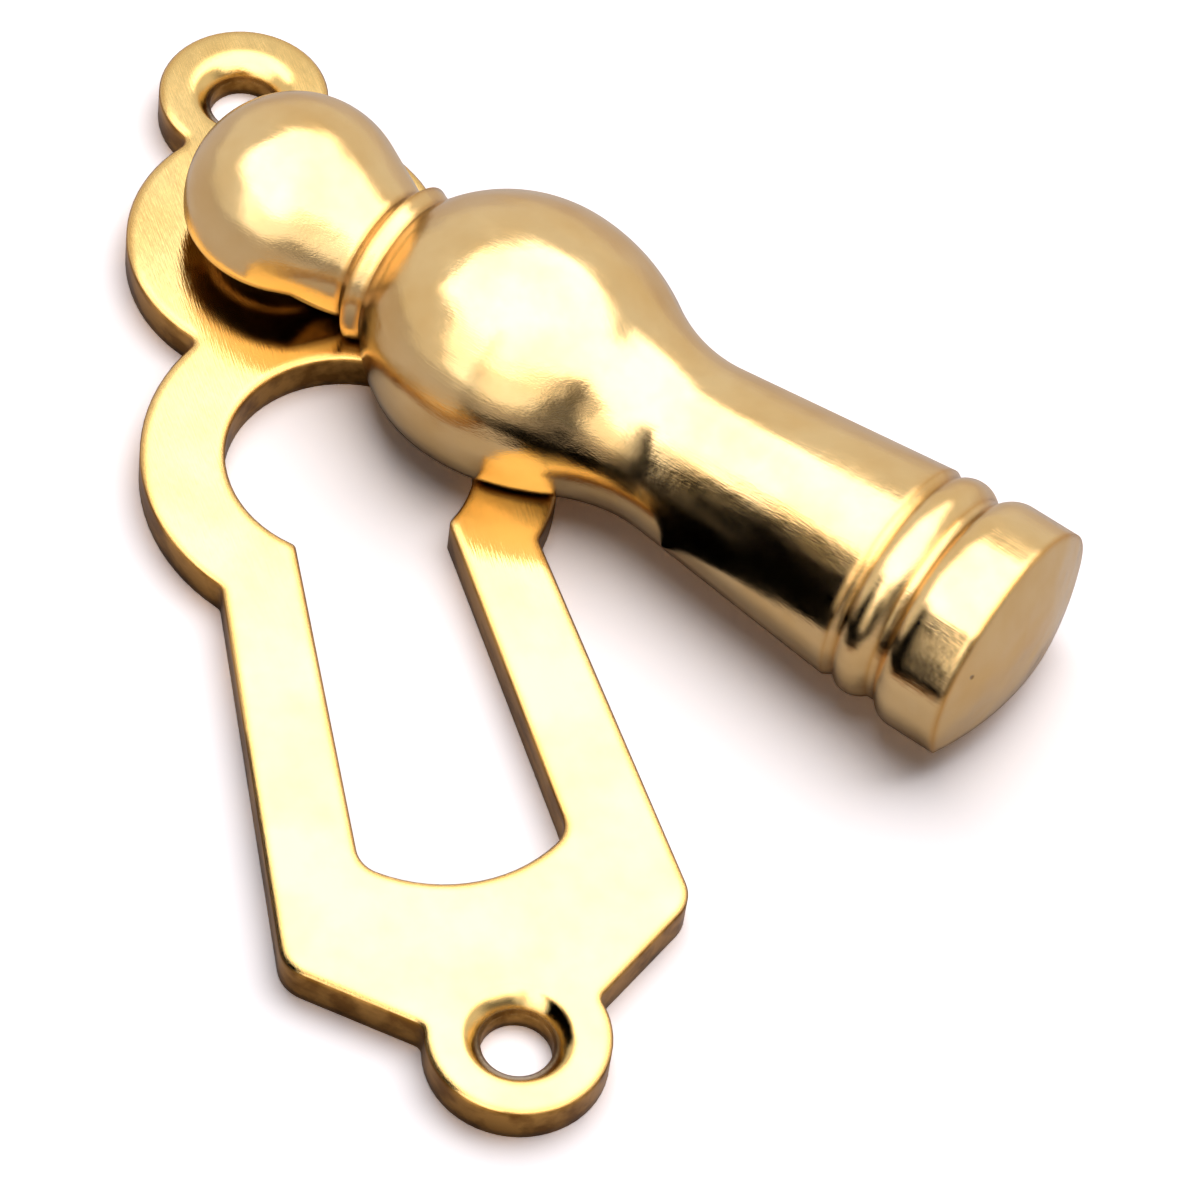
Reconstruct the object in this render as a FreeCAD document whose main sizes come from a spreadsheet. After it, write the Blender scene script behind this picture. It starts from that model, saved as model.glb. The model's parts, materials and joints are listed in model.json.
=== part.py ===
import FreeCAD
import Part
import math
import os
import Sketcher
from FreeCAD import Vector

# Keyhole escutcheon: a flat cast plate with an open keyhole, and a turned drop cover that swings
# on a rivet near the top of the plate.
#
# Frame: millimetres. The back of the plate lies on z = 0 and its face looks to +Z. +Y points up
# the plate, towards the pivot. The origin is midway between the two screw holes.

# Driving sizes. Each one is written here once and becomes a named cell of the sheet.
SIZES = {
    # plate
    "plate_thickness": 1.9,
    "screw_spacing": 55.0,
    "screw_lobe_radius": 4.1,
    "screw_hole_radius": 1.6,
    "countersink_radius": 2.55,
    "countersink_angle": 90.0,
    "shoulder_radius": 7.6,
    "lobe_to_shoulder": 9.45,
    "ring_radius": 9.7,
    "shoulder_to_ring": 13.35,
    "skirt_top_half_width": 6.88,
    "skirt_foot_half_width": 9.27,
    "lobe_to_skirt_foot": 5.3,
    "lobe_to_bevel_point": 1.85,
    "skirt_corner_radius": 1.8,
    "notch_radius": 0.5,
    "plate_edge_bevel": 0.16,
    # keyhole
    "keyhole_round_radius": 5.78,
    "slot_top_half_width": 3.33,
    "slot_foot_half_width": 4.75,
    "slot_to_skirt_foot": 2.8,
    "slot_foot_curve": 7.0,
    "slot_corner_radius": 1.5,
    "keyhole_throat_radius": 0.4,
    # pivot
    "shoulder_to_pivot": 0.55,
    "rivet_radius": 1.5,
    "pivot_clearance": 0.05,
    "rivet_head_radius": 2.7,
    "rivet_head_thickness": 0.8,
    "rivet_head_clearance": 0.15,
    "rivet_engagement": 3.2,
    "rivet_end_clearance": 0.2,
    # cover
    "cover_swing_angle": 39.5,
    "cover_gap": 0.2,
    "boss_radius": 3.45,
    "axis_height": 2.14,
    "ball_centre": 0.55,
    "ball_radius": 5.3,
    "ball_rim_height": 1.75,
    "relief_turn_station": 3.6,
    "neck_end_station": 5.7,
    "neck_end_radius": 3.4,
    "collar_station": 6.35,
    "collar_radius": 4.15,
    "collar_groove_station": 7.15,
    "collar_groove_radius": 3.8,
    "bulb_station": 13.7,
    "bulb_radius": 7.0,
    "bulb_back_curve": 10.4,
    "waist_station": 22.9,
    "waist_radius": 4.38,
    "shank_end_station": 34.8,
    "shank_end_radius": 5.6,
    "reed_width": 1.9,
    "reed_curve": 1.23,
    "reed_groove_width": 0.4,
    "reed_groove_radius": 5.33,
    "end_reed_radius": 6.0,
    "end_reed_curve": 1.5,
    "end_station": 42.4,
    "end_curve_radius": 15.7,
    # how far a cutting outline runs past what it trims
    "trim_allowance": 1.0,
}

# Sizes that follow from the driving sizes, as formulas of the sheet.
DERIVED = {
    "lobe_y": "=screw_spacing / 2",
    "shoulder_centre_y": "=lobe_y - lobe_to_shoulder",
    "pivot_y": "=shoulder_centre_y + shoulder_to_pivot",
    "ring_centre_y": "=shoulder_centre_y - shoulder_to_ring",
    "skirt_foot_drop": "=lobe_y - lobe_to_skirt_foot",
    "bevel_point_drop": "=lobe_y + lobe_to_bevel_point",
    "slot_foot_drop": "=skirt_foot_drop - slot_to_skirt_foot",
    "pivot_hole_radius": "=rivet_radius + pivot_clearance",
    "recess_radius": "=rivet_head_radius + rivet_head_clearance",
    "recess_depth": "=rivet_head_thickness + 2 * pivot_clearance",
    "boss_height": "=cover_gap - pivot_clearance",
    "cover_back_z": "=plate_thickness + cover_gap",
    "cover_turn": "=cover_swing_angle - 90",
    "bore_depth": "=rivet_engagement + rivet_end_clearance",
    "waist_lift": "=waist_radius - bulb_radius + bulb_back_curve",
    "waist_run": "=waist_station - bulb_station",
    "waist_curve": "=(waist_run * waist_run + waist_lift * waist_lift - bulb_back_curve *"
                   " bulb_back_curve) / (2 * (bulb_back_curve - waist_lift))",
    "first_reed_station": "=shank_end_station + reed_groove_width",
    "first_reed_end": "=first_reed_station + reed_width",
    "end_reed_station": "=first_reed_end + reed_groove_width",
    "end_reed_rise": "=end_reed_radius - reed_groove_radius",
    "end_reed_crest": "=end_reed_station + sqrt(2 * end_reed_curve * end_reed_rise -"
                      " end_reed_rise * end_reed_rise)",
    "blank_end": "=end_station + trim_allowance",
    "blank_half_width": "=bulb_radius + trim_allowance",
    "blank_start": "=ball_radius + trim_allowance",
    "end_curve_centre": "=end_station - end_curve_radius",
    "end_trim_half_width": "=end_reed_radius + trim_allowance",
    "shank_length": "=cover_back_z + rivet_engagement - pivot_clearance",
}

# Two points this near to each other, in millimetres, count as one.
SAME_PLACE = 0.001

doc = FreeCAD.newDocument("keyhole_escutcheon")
sheet = doc.addObject("Spreadsheet::Sheet", "Sizes")
for row, (alias, number) in enumerate(SIZES.items(), start=1):
    sheet.set("A%d" % row, alias.replace("_", " "))
    sheet.set("B%d" % row, str(number))
    sheet.setAlias("B%d" % row, alias)
for row, (alias, formula) in enumerate(DERIVED.items(), start=1):
    sheet.set("D%d" % row, alias.replace("_", " "))
    sheet.set("E%d" % row, formula)
    sheet.setAlias("E%d" % row, alias)
doc.recompute()


def size(alias):
    """The number in a named cell of the sheet."""
    return float(getattr(sheet, alias))


def new_body(label):
    """An empty body whose label names the piece."""
    body = doc.addObject("PartDesign::Body", label)
    body.Label = label
    return body


def new_sketch(body, name, plane="XY_Plane", lift=None, lift_axis="z"):
    """A sketch on one of the body's own origin planes, moved off it by a formula of the sheet."""
    sketch = body.newObject("Sketcher::SketchObject", name)
    for feature in body.Origin.OriginFeatures:
        if feature.Role == plane:
            sketch.AttachmentSupport = [(feature, "")]
    sketch.MapMode = "FlatFace"
    if lift:
        sketch.setExpression("AttachmentOffset.Base." + lift_axis, lift)
    return sketch


def dimension(sketch, kind, name, formula, *where):
    """A driving constraint that reads its value from the sheet."""
    index = sketch.addConstraint(Sketcher.Constraint(kind, *where))
    sketch.renameConstraint(index, name)
    sketch.setExpression("Constraints." + name, formula)


def place_point(sketch, name, geometry, point, x, y, x_formula, y_formula):
    """Fixes one point of a sketch by its distances from the origin along X and Y."""
    for kind, value, formula in (("DistanceX", x, x_formula), ("DistanceY", y, y_formula)):
        label = name + kind[-1]
        if value < 0:
            dimension(sketch, kind, label, "-(" + formula + ")", geometry, point, -1, 1, -value)
        else:
            dimension(sketch, kind, label, formula, -1, 1, geometry, point, value)


def add_circle(sketch, name, y, radius, y_formula, radius_formula):
    """A circle centred on the sketch's Y axis."""
    circle = sketch.addGeometry(Part.Circle(Vector(0, y, 0), Vector(0, 0, 1), radius), False)
    sketch.addConstraint(Sketcher.Constraint("PointOnObject", circle, 3, -2))
    if y < 0:
        dimension(sketch, "DistanceY", name + "_y", "-(" + y_formula + ")", circle, 3, -1, 1, -y)
    elif y > 0:
        dimension(sketch, "DistanceY", name + "_y", y_formula, -1, 1, circle, 3, y)
    else:
        sketch.addConstraint(Sketcher.Constraint("PointOnObject", circle, 3, -1))
    dimension(sketch, "Radius", name + "_radius", radius_formula, circle, radius)
    return circle


def add_polygon(sketch, name, corners):
    """A closed outline of straight lines. Each corner is (x, y, x formula, y formula)."""
    count = len(corners)
    lines = []
    for i in range(count):
        start = Vector(corners[i][0], corners[i][1], 0)
        end = Vector(corners[(i + 1) % count][0], corners[(i + 1) % count][1], 0)
        lines.append(sketch.addGeometry(Part.LineSegment(start, end), False))
    for i in range(count):
        sketch.addConstraint(Sketcher.Constraint("Coincident", lines[i - 1], 2, lines[i], 1))
        x, y, x_formula, y_formula = corners[i]
        place_point(sketch, "%s_%d" % (name, i), lines[i], 1, x, y, x_formula, y_formula)
    return lines


def pad(body, sketch, name, length):
    """Material added from a sketch, by a length that the sheet gives."""
    feature = body.newObject("PartDesign::Pad", name)
    feature.Profile = sketch
    feature.setExpression("Length", length)
    return feature


def pocket(body, sketch, name, length=None, upward=False, both_ways=False):
    """Material cut away from a sketch: through all, or by a length that the sheet gives."""
    feature = body.newObject("PartDesign::Pocket", name)
    feature.Profile = sketch
    if length:
        feature.Type = "Length"
        feature.setExpression("Length", length)
    else:
        feature.Type = "ThroughAll"
    feature.Reversed = upward
    feature.Midplane = both_ways
    return feature


def dress_edges(body, kind, name, amount, chosen):
    """A Fillet or Chamfer on the edges of the body's tip that the function `chosen` accepts."""
    doc.recompute()
    tip = body.Tip
    names = []
    for index, edge in enumerate(tip.Shape.Edges, start=1):
        if chosen(edge):
            names.append("Edge%d" % index)
    feature = body.newObject("PartDesign::" + kind, name)
    feature.Base = (tip, names)
    feature.setExpression("Radius" if kind == "Fillet" else "Size", amount)
    doc.recompute()
    return feature


def is_upright(edge):
    """True for an edge that runs straight up through the plate."""
    box = edge.BoundBox
    return box.XLength < SAME_PLACE and box.YLength < SAME_PLACE


def tangent_point(centre, radius, outside, side):
    """Where a line from a point outside touches a circle, turned to the left (+1) or right (-1)."""
    across = outside[0] - centre[0]
    rise = outside[1] - centre[1]
    bearing = math.atan2(rise, across)
    angle = bearing + side * math.acos(radius / math.hypot(across, rise))
    return (centre[0] + radius * math.cos(angle), centre[1] + radius * math.sin(angle))


def arc(centre, radius, start, end):
    """A counter-clockwise arc from one point to another about a centre."""
    a = math.atan2(start[1] - centre[1], start[0] - centre[0])
    b = math.atan2(end[1] - centre[1], end[0] - centre[0])
    circle = Part.Circle(Vector(centre[0], centre[1], 0), Vector(0, 0, 1), radius)
    return Part.ArcOfCircle(circle, a, b)


# Plate outline: discs for the lobes and a flared skirt, each as thick as the plate.
def make_backplate():
    body = new_body("backplate")
    for name, y_formula, radius_formula, y in (
        ("top_lobe", "Sizes.lobe_y", "Sizes.screw_lobe_radius", size("lobe_y")),
        ("bottom_lobe", "-Sizes.lobe_y", "Sizes.screw_lobe_radius", -size("lobe_y")),
        ("shoulder", "Sizes.shoulder_centre_y", "Sizes.shoulder_radius",
         size("shoulder_centre_y")),
        ("ring", "Sizes.ring_centre_y", "Sizes.ring_radius", size("ring_centre_y")),
    ):
        sketch = new_sketch(body, name + "_outline")
        radius = size(radius_formula.split(".")[1])
        add_circle(sketch, name, y, radius, y_formula, radius_formula)
        pad(body, sketch, name, "Sizes.plate_thickness")

    half = size("skirt_top_half_width")
    top = size("ring_centre_y")
    foot_half = size("skirt_foot_half_width")
    foot = size("skirt_foot_drop")
    point = size("bevel_point_drop")
    skirt = new_sketch(body, "skirt_outline")
    add_polygon(skirt, "skirt", [
        (half, top, "Sizes.skirt_top_half_width", "Sizes.ring_centre_y"),
        (-half, top, "-Sizes.skirt_top_half_width", "Sizes.ring_centre_y"),
        (-foot_half, -foot, "-Sizes.skirt_foot_half_width", "-Sizes.skirt_foot_drop"),
        (0, -point, "0", "-Sizes.bevel_point_drop"),
        (foot_half, -foot, "Sizes.skirt_foot_half_width", "-Sizes.skirt_foot_drop"),
    ])
    pad(body, skirt, "skirt", "Sizes.plate_thickness")

    # Outline corners: the foot corners of the skirt are rounded, and the notches between the
    # lobes have a small fillet each.
    def at_foot_corner(edge):
        return is_upright(edge) and abs(abs(edge.CenterOfMass.x) - foot_half) < SAME_PLACE

    def at_notch(edge):
        off_centre = abs(edge.CenterOfMass.x) > SAME_PLACE
        return is_upright(edge) and off_centre and is_sharp_inward(body, edge)

    dress_edges(body, "Fillet", "skirt_corners", "Sizes.skirt_corner_radius", at_foot_corner)
    dress_edges(body, "Fillet", "lobe_notches", "Sizes.notch_radius", at_notch)

    # Keyhole: a round for the barrel of the key and a flared slot for its bit.
    keyhole_y = size("ring_centre_y")
    key_round = new_sketch(body, "keyhole_round_outline", lift="Sizes.plate_thickness")
    add_circle(key_round, "keyhole_round", keyhole_y, size("keyhole_round_radius"),
               "Sizes.ring_centre_y", "Sizes.keyhole_round_radius")
    pocket(body, key_round, "keyhole_round")

    slot = new_sketch(body, "keyhole_slot_outline", lift="Sizes.plate_thickness")
    add_slot_outline(slot)
    pocket(body, slot, "keyhole_slot")

    slot_foot_half = size("slot_foot_half_width")

    def at_slot_corner(edge):
        at_side = abs(abs(edge.CenterOfMass.x) - slot_foot_half) < SAME_PLACE
        return is_upright(edge) and at_side

    def at_throat(edge):
        centre = edge.CenterOfMass
        on_round = math.hypot(centre.x, centre.y - keyhole_y) - size("keyhole_round_radius")
        return is_upright(edge) and abs(on_round) < SAME_PLACE and centre.y < keyhole_y

    dress_edges(body, "Fillet", "slot_corners", "Sizes.slot_corner_radius", at_slot_corner)
    dress_edges(body, "Fillet", "keyhole_throat", "Sizes.keyhole_throat_radius", at_throat)

    # Pivot hole through the shoulder, with a recess behind for the head of the rivet.
    hole = new_sketch(body, "pivot_hole_outline", lift="Sizes.plate_thickness")
    add_circle(hole, "pivot_hole", size("pivot_y"), size("pivot_hole_radius"), "Sizes.pivot_y",
               "Sizes.pivot_hole_radius")
    pocket(body, hole, "pivot_hole")
    recess = new_sketch(body, "rivet_recess_outline")
    add_circle(recess, "rivet_recess", size("pivot_y"), size("recess_radius"), "Sizes.pivot_y",
               "Sizes.recess_radius")
    pocket(body, recess, "rivet_recess", "Sizes.recess_depth", upward=True)

    # The edges of the face are broken all round before the screw holes are cut.
    def on_face_outline(edge):
        box = edge.BoundBox
        level = box.ZLength < SAME_PLACE
        on_face = abs(edge.CenterOfMass.z - size("plate_thickness")) < SAME_PLACE
        around_pivot = box.DiagonalLength < 3 * size("pivot_hole_radius")
        near_pivot = abs(edge.CenterOfMass.y - size("pivot_y")) < SAME_PLACE
        return level and on_face and not (near_pivot and around_pivot)

    dress_edges(body, "Chamfer", "face_edges", "Sizes.plate_edge_bevel", on_face_outline)

    # Screw holes: countersunk from the face.
    screws = new_sketch(body, "screw_hole_centres", lift="Sizes.plate_thickness")
    add_circle(screws, "top_screw", size("lobe_y"), size("screw_hole_radius"), "Sizes.lobe_y",
               "Sizes.screw_hole_radius")
    add_circle(screws, "bottom_screw", -size("lobe_y"), size("screw_hole_radius"),
               "-Sizes.lobe_y", "Sizes.screw_hole_radius")
    doc.recompute()
    hole_feature = body.newObject("PartDesign::Hole", "screw_holes")
    hole_feature.Profile = screws
    hole_feature.Threaded = False
    hole_feature.DepthType = "ThroughAll"
    hole_feature.setExpression("Diameter", "2 * Sizes.screw_hole_radius")
    hole_feature.HoleCutType = "Countersink"
    hole_feature.setExpression("HoleCutDiameter", "2 * Sizes.countersink_radius")
    hole_feature.setExpression("HoleCutCountersinkAngle", "Sizes.countersink_angle")
    doc.recompute()
    return body


def is_sharp_inward(body, edge):
    """True where two walls of the plate meet in a notch, seen from the mass beside the edge."""
    probes = 24
    reach = 0.05
    inside = 0
    for i in range(probes):
        angle = 2 * math.pi * i / probes
        point = edge.CenterOfMass + Vector(math.cos(angle), math.sin(angle), 0) * reach
        if body.Tip.Shape.isInside(point, SAME_PLACE, False):
            inside += 1
    return inside > probes / 2


def add_slot_outline(sketch):
    """The flared slot of the keyhole, closed by a shallow arc at its foot."""
    half = size("slot_top_half_width")
    foot_half = size("slot_foot_half_width")
    curve = size("slot_foot_curve")
    centre_y = curve - size("slot_foot_drop")
    corner_y = centre_y - math.sqrt(curve ** 2 - foot_half ** 2)
    top_y = size("ring_centre_y")
    top_left = Vector(-half, top_y, 0)
    top_right = Vector(half, top_y, 0)
    left_foot = Vector(-foot_half, corner_y, 0)
    right_foot = Vector(foot_half, corner_y, 0)
    top = sketch.addGeometry(Part.LineSegment(top_right, top_left), False)
    left = sketch.addGeometry(Part.LineSegment(top_left, left_foot), False)
    foot = sketch.addGeometry(arc((0, centre_y), curve, left_foot, right_foot), False)
    right = sketch.addGeometry(Part.LineSegment(right_foot, top_right), False)
    for first, second in ((top, left), (left, foot), (foot, right), (right, top)):
        sketch.addConstraint(Sketcher.Constraint("Coincident", first, 2, second, 1))
    place_point(sketch, "slot_left", left, 1, -half, top_y, "-Sizes.slot_top_half_width",
                "Sizes.ring_centre_y")
    place_point(sketch, "slot_right", top, 1, half, top_y, "Sizes.slot_top_half_width",
                "Sizes.ring_centre_y")
    sketch.addConstraint(Sketcher.Constraint("PointOnObject", foot, 3, -2))
    dimension(sketch, "DistanceX", "foot_left", "Sizes.slot_foot_half_width",
              foot, 1, -1, 1, foot_half)
    dimension(sketch, "DistanceX", "foot_right", "Sizes.slot_foot_half_width",
              -1, 1, foot, 2, foot_half)
    dimension(sketch, "Radius", "foot_curve", "Sizes.slot_foot_curve", foot, curve)
    dimension(sketch, "DistanceY", "foot_centre", "Sizes.slot_foot_drop - Sizes.slot_foot_curve",
              foot, 3, -1, 1, -centre_y)


# Cover: turned about an axis that runs out from the pivot, then ground flat behind.
# In its own frame the pivot is on Z, the flat back on z = 0, and the axis runs along +X.
def make_swing_cover():
    body = new_body("swing_cover")
    profile = new_sketch(body, "turned_profile", "XZ_Plane", "Sizes.axis_height", "y")
    add_turned_profile(profile)
    turned = body.newObject("PartDesign::Revolution", "turned_form")
    turned.Profile = profile
    turned.ReferenceAxis = (profile, ["H_Axis"])
    turned.Angle = 360.0

    # Flat back: everything below the back plane is ground away.
    start = size("blank_start")
    end = size("blank_end")
    half = size("blank_half_width")
    blank = new_sketch(body, "flat_back_outline")
    add_polygon(blank, "blank", [
        (-start, -half, "-Sizes.blank_start", "-Sizes.blank_half_width"),
        (end, -half, "Sizes.blank_end", "-Sizes.blank_half_width"),
        (end, half, "Sizes.blank_end", "Sizes.blank_half_width"),
        (-start, half, "-Sizes.blank_start", "Sizes.blank_half_width"),
    ])
    pocket(body, blank, "flat_back")

    # Convex end: the last reed is cut off to an arc, seen from the front.
    end_trim = new_sketch(body, "end_outline")
    add_end_outline(end_trim)
    pocket(body, end_trim, "convex_end", both_ways=True)

    # Relief behind the ball: its rim stands clear of the plate and runs out at the collar. A
    # round boss fills the middle.
    rim = size("ball_rim_height")
    turn = size("relief_turn_station")
    collar = size("collar_station")
    relief = new_sketch(body, "ball_relief_outline", "XZ_Plane")
    add_polygon(relief, "relief", [
        (-start, 0, "-Sizes.blank_start", "0"),
        (collar, 0, "Sizes.collar_station", "0"),
        (turn, rim, "Sizes.relief_turn_station", "Sizes.ball_rim_height"),
        (-start, rim, "-Sizes.blank_start", "Sizes.ball_rim_height"),
    ])
    pocket(body, relief, "ball_relief", both_ways=True)
    boss = new_sketch(body, "boss_outline", lift="-Sizes.boss_height")
    add_circle(boss, "boss", 0, size("boss_radius"), "0", "Sizes.boss_radius")
    pad(body, boss, "boss", "Sizes.boss_height + Sizes.axis_height")

    bore = new_sketch(body, "rivet_bore_outline", lift="-Sizes.boss_height")
    add_circle(bore, "rivet_bore", 0, size("rivet_radius"), "0", "Sizes.rivet_radius")
    pocket(body, bore, "rivet_bore", "Sizes.bore_depth + Sizes.boss_height", upward=True)

    body.setExpression("Placement", "placement(vector(0; Sizes.pivot_y; Sizes.cover_back_z);"
                       " rotation(vector(0; 0; 1); Sizes.cover_turn))")
    doc.recompute()
    return body


def add_turned_profile(sketch):
    """Half of the turned outline above its axis, from the ball to the end of the last reed."""
    ball = (size("ball_centre"), 0.0)
    ball_radius = size("ball_radius")
    neck_end = (size("neck_end_station"), size("neck_end_radius"))
    crest = (size("collar_station"), size("collar_radius"))
    groove = (size("collar_groove_station"), size("collar_groove_radius"))
    bulb = (size("bulb_station"), size("bulb_radius"))
    back = size("bulb_back_curve")
    waist = (size("waist_station"), size("waist_radius"))
    waist_curve = size("waist_curve")
    shank = (size("shank_end_station"), size("shank_end_radius"))
    low = size("reed_groove_radius")
    reed_start = (size("first_reed_station"), low)
    reed_end = (size("first_reed_end"), low)
    end_reed = (size("end_reed_station"), low)
    end_crest = (size("end_reed_crest"), size("end_reed_radius"))
    end = size("blank_end")

    # Where the arcs meet, worked out from the sizes.
    neck = tangent_point(ball, ball_radius, neck_end, 1)
    run = bulb[0] - groove[0]
    rise = bulb[1] - groove[1]
    front_curve = (run ** 2 + rise ** 2) / (2 * rise)
    front_centre = (bulb[0], bulb[1] - front_curve)
    back_centre = (bulb[0], bulb[1] - back)
    waist_centre = (waist[0], waist[1] + waist_curve)
    turn = point_between(back_centre, waist_centre, back / (back + waist_curve))
    flare = tangent_point(waist_centre, waist_curve, shank, -1)
    reed_curve = size("reed_curve")
    reed_width = size("reed_width")
    reed_centre = ((reed_start[0] + reed_end[0]) / 2,
                   low - math.sqrt(reed_curve ** 2 - (reed_width / 2) ** 2))
    end_reed_centre = (end_crest[0], end_crest[1] - size("end_reed_curve"))
    ball_start = (ball[0] - ball_radius, 0.0)

    def line(first, second):
        return sketch.addGeometry(Part.LineSegment(Vector(*first, 0), Vector(*second, 0)), False)

    ball_arc = sketch.addGeometry(arc(ball, ball_radius, neck, ball_start), False)
    neck_line = line(neck, neck_end)
    collar_front = line(neck_end, crest)
    collar_back = line(crest, groove)
    front_arc = sketch.addGeometry(arc(front_centre, front_curve, bulb, groove), False)
    back_arc = sketch.addGeometry(arc(back_centre, back, turn, bulb), False)
    waist_arc = sketch.addGeometry(arc(waist_centre, waist_curve, turn, flare), False)
    shank_line = line(flare, shank)
    first_groove = line(shank, reed_start)
    reed_arc = sketch.addGeometry(arc(reed_centre, reed_curve, reed_end, reed_start), False)
    second_groove = line(reed_end, end_reed)
    end_arc = sketch.addGeometry(
        arc(end_reed_centre, size("end_reed_curve"), end_crest, end_reed), False)
    end_line = line(end_crest, (end, end_crest[1]))
    end_face = line((end, end_crest[1]), (end, 0.0))
    axis_line = line((end, 0.0), ball_start)

    def join(first, first_point, second, second_point, kind="Coincident"):
        sketch.addConstraint(
            Sketcher.Constraint(kind, first, first_point, second, second_point))

    sketch.addConstraint(Sketcher.Constraint("PointOnObject", ball_arc, 3, -1))
    sketch.addConstraint(Sketcher.Constraint("PointOnObject", ball_arc, 2, -1))
    dimension(sketch, "DistanceX", "ball_centre", "Sizes.ball_centre", -1, 1, ball_arc, 3, ball[0])
    dimension(sketch, "Radius", "ball_radius", "Sizes.ball_radius", ball_arc, ball_radius)
    join(ball_arc, 1, neck_line, 1, "Tangent")
    place_point(sketch, "neck_end", neck_line, 2, neck_end[0], neck_end[1],
                "Sizes.neck_end_station", "Sizes.neck_end_radius")
    join(neck_line, 2, collar_front, 1)
    place_point(sketch, "crest", collar_front, 2, crest[0], crest[1], "Sizes.collar_station",
                "Sizes.collar_radius")
    join(collar_front, 2, collar_back, 1)
    place_point(sketch, "groove", collar_back, 2, groove[0], groove[1],
                "Sizes.collar_groove_station", "Sizes.collar_groove_radius")
    join(collar_back, 2, front_arc, 2)
    place_point(sketch, "bulb", front_arc, 1, bulb[0], bulb[1], "Sizes.bulb_station",
                "Sizes.bulb_radius")
    join(front_arc, 3, front_arc, 1, "Vertical")
    join(front_arc, 1, back_arc, 2)
    join(back_arc, 3, back_arc, 2, "Vertical")
    dimension(sketch, "Radius", "back_curve", "Sizes.bulb_back_curve", back_arc, back)
    join(back_arc, 1, waist_arc, 1, "Tangent")
    dimension(sketch, "DistanceX", "waist_station", "Sizes.waist_station",
              -1, 1, waist_arc, 3, waist[0])
    dimension(sketch, "Radius", "waist_curve", "Sizes.waist_curve", waist_arc, waist_curve)
    join(waist_arc, 2, shank_line, 1, "Tangent")
    place_point(sketch, "shank", shank_line, 2, shank[0], shank[1], "Sizes.shank_end_station",
                "Sizes.shank_end_radius")
    join(shank_line, 2, first_groove, 1)
    place_point(sketch, "reed_start", first_groove, 2, reed_start[0], low,
                "Sizes.first_reed_station", "Sizes.reed_groove_radius")
    join(first_groove, 2, reed_arc, 2)
    place_point(sketch, "reed_end", reed_arc, 1, reed_end[0], low, "Sizes.first_reed_end",
                "Sizes.reed_groove_radius")
    dimension(sketch, "Radius", "reed_curve", "Sizes.reed_curve", reed_arc, reed_curve)
    join(reed_arc, 1, second_groove, 1)
    place_point(sketch, "end_reed", second_groove, 2, end_reed[0], low,
                "Sizes.end_reed_station", "Sizes.reed_groove_radius")
    join(second_groove, 2, end_arc, 2)
    place_point(sketch, "end_crest", end_arc, 1, end_crest[0], end_crest[1],
                "Sizes.end_reed_crest", "Sizes.end_reed_radius")
    join(end_arc, 3, end_arc, 1, "Vertical")
    join(end_arc, 1, end_line, 1)
    sketch.addConstraint(Sketcher.Constraint("Horizontal", end_line))
    dimension(sketch, "DistanceX", "blank_end", "Sizes.blank_end", -1, 1, end_line, 2, end)
    join(end_line, 2, end_face, 1)
    sketch.addConstraint(Sketcher.Constraint("Vertical", end_face))
    sketch.addConstraint(Sketcher.Constraint("PointOnObject", end_face, 2, -1))
    join(end_face, 2, axis_line, 1)
    join(axis_line, 2, ball_arc, 2)


def point_between(first, second, share):
    """The point at a share of the way from one point to another."""
    return (first[0] + (second[0] - first[0]) * share, first[1] + (second[1] - first[1]) * share)


def add_end_outline(sketch):
    """What lies beyond the convex end of the cover."""
    curve = size("end_curve_radius")
    centre = size("end_curve_centre")
    half = size("end_trim_half_width")
    far = size("blank_end") + size("trim_allowance")
    side_x = centre + math.sqrt(curve ** 2 - half ** 2)
    low = (side_x, -half)
    high = (side_x, half)
    end_arc = sketch.addGeometry(arc((centre, 0), curve, low, high), False)
    top = sketch.addGeometry(Part.LineSegment(Vector(side_x, half, 0), Vector(far, half, 0)), False)
    side = sketch.addGeometry(Part.LineSegment(Vector(far, half, 0), Vector(far, -half, 0)), False)
    foot = sketch.addGeometry(
        Part.LineSegment(Vector(far, -half, 0), Vector(side_x, -half, 0)), False)
    for first, first_point, second, second_point in (
        (end_arc, 2, top, 1), (top, 2, side, 1), (side, 2, foot, 1), (foot, 2, end_arc, 1),
    ):
        sketch.addConstraint(
            Sketcher.Constraint("Coincident", first, first_point, second, second_point))
    sketch.addConstraint(Sketcher.Constraint("PointOnObject", end_arc, 3, -1))
    dimension(sketch, "DistanceX", "end_centre", "Sizes.end_curve_centre",
              -1, 1, end_arc, 3, centre)
    dimension(sketch, "Radius", "end_curve", "Sizes.end_curve_radius", end_arc, curve)
    for line in (top, foot):
        sketch.addConstraint(Sketcher.Constraint("Horizontal", line))
    place_point(sketch, "far_top", side, 1, far, half, "Sizes.blank_end + Sizes.trim_allowance",
                "Sizes.end_trim_half_width")
    place_point(sketch, "far_foot", side, 2, far, -half,
                "Sizes.blank_end + Sizes.trim_allowance", "-Sizes.end_trim_half_width")


# Rivet: its head lies in the recess behind the plate and its shank is fixed in the cover's boss.
def make_pivot_rivet():
    body = new_body("pivot_rivet")
    head = new_sketch(body, "head_outline", lift="Sizes.pivot_clearance")
    add_circle(head, "head", 0, size("rivet_head_radius"), "0", "Sizes.rivet_head_radius")
    pad(body, head, "head", "Sizes.rivet_head_thickness")
    shank = new_sketch(body, "shank_outline", lift="Sizes.pivot_clearance")
    add_circle(shank, "shank", 0, size("rivet_radius"), "0", "Sizes.rivet_radius")
    pad(body, shank, "shank", "Sizes.shank_length")
    body.setExpression("Placement.Base.y", "Sizes.pivot_y")
    doc.recompute()
    return body


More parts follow.
